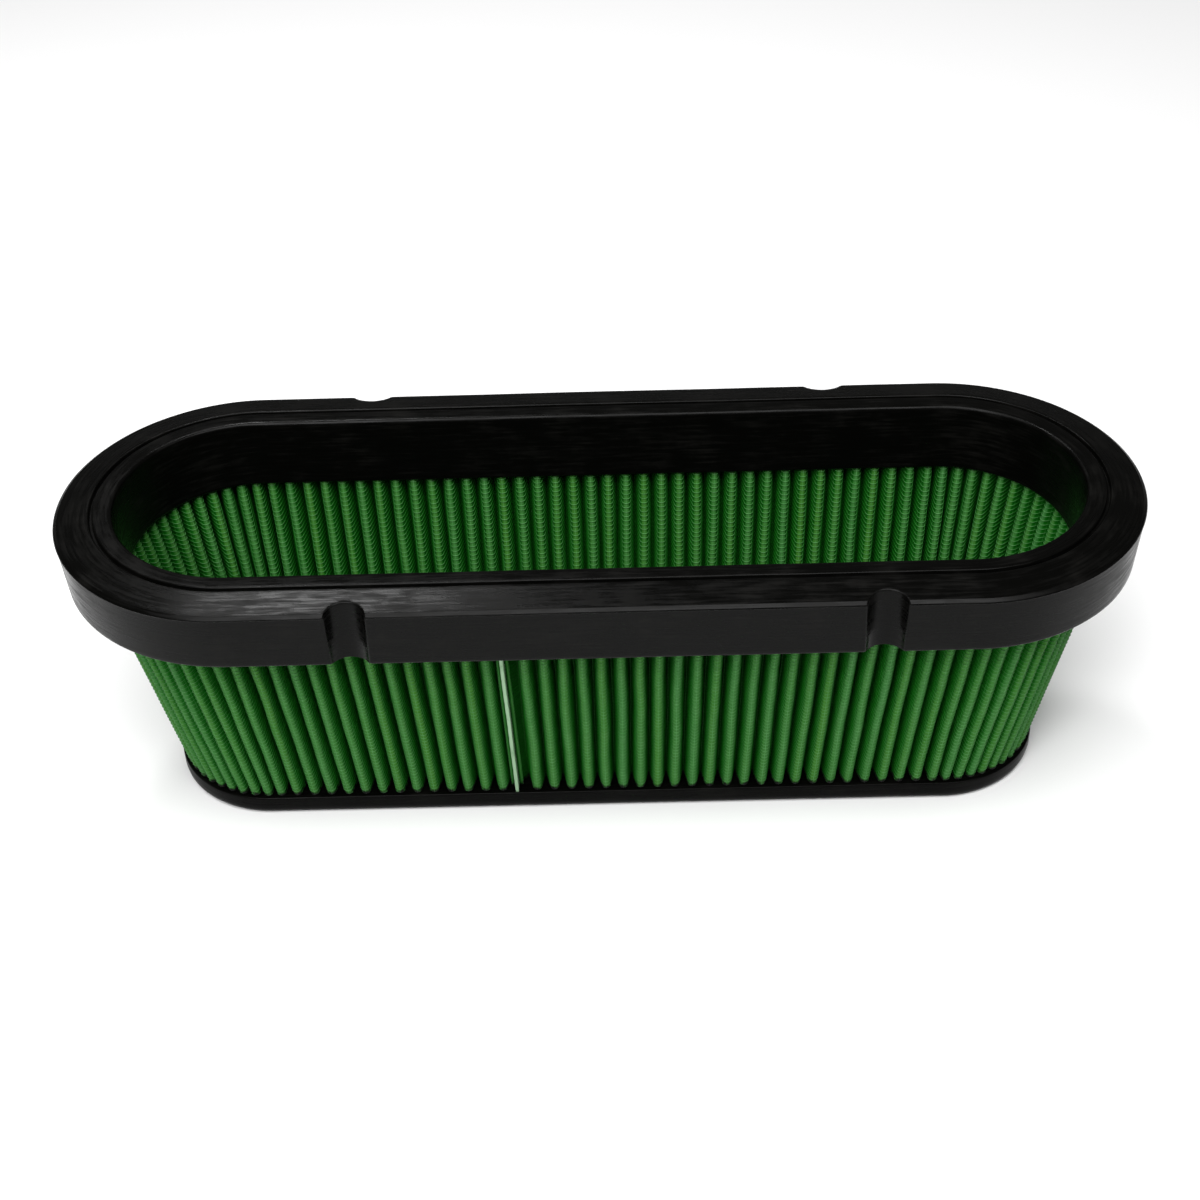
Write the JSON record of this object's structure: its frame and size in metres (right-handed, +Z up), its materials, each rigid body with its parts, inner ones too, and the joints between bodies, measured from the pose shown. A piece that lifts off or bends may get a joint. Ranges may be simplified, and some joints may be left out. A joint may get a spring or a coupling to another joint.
{
  "type": "pleated air filter element",
  "caption": "Oval pleated air filter basket: a moulded sealing frame round an open top, tapering gauze pleats between wire screens, and a closed bottom cap.",
  "frame": {"origin": "centre of the underside of the bottom cap, where the element stands", "axes": "+X along the oval, +Z up through the open top, the seam of the pleats faces -Y"},
  "size_m": [0.3798, 0.1318, 0.1182],
  "materials": {
    "frame_rubber": "semi-matte moulded polyurethane",
    "screen_metal": "green epoxy coated aluminium wire",
    "gauze": "oiled cotton gauze",
    "seam_metal": "satin bare aluminium"
  },
  "bodies": {
    "root": {"top_frame": "frame_rubber", "bottom_cap": "frame_rubber", "seam_strip": "seam_metal", "outer_wire_screen": "screen_metal", "inner_wire_screen": "screen_metal", "gauze_ply_1": "gauze", "gauze_ply_2": "gauze", "gauze_ply_3": "gauze", "gauze_ply_4": "gauze"}
  },
  "joints": []
}
